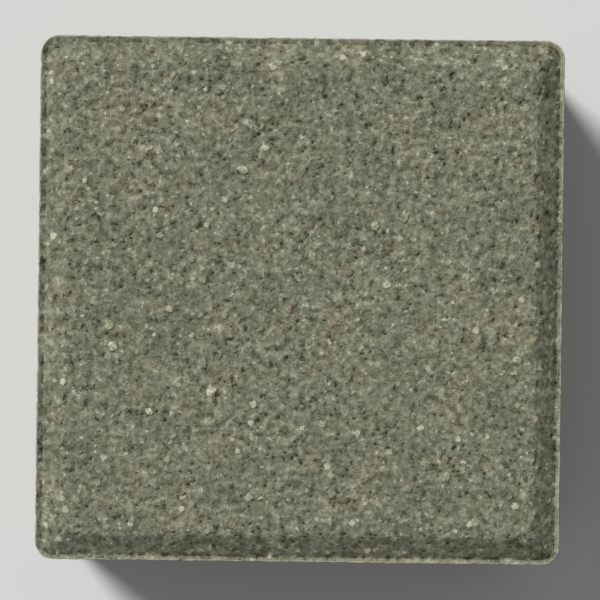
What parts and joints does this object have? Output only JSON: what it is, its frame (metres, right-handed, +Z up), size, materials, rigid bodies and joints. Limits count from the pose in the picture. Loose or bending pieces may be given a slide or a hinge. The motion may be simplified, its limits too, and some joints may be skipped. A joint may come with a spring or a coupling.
{
  "type": "concrete paving stone",
  "caption": "Square grey concrete paving stone with a sloped, rimmed edge around its flat top face and spacer nibs on its sides.",
  "frame": {"origin": "middle of the flat underside", "axes": "+Z up out of the top face, +X and +Y square to the sides"},
  "size_m": [0.151, 0.151, 0.06],
  "materials": {
    "concrete": "matte"
  },
  "bodies": {
    "root": {"paving_stone": "concrete"}
  },
  "joints": []
}
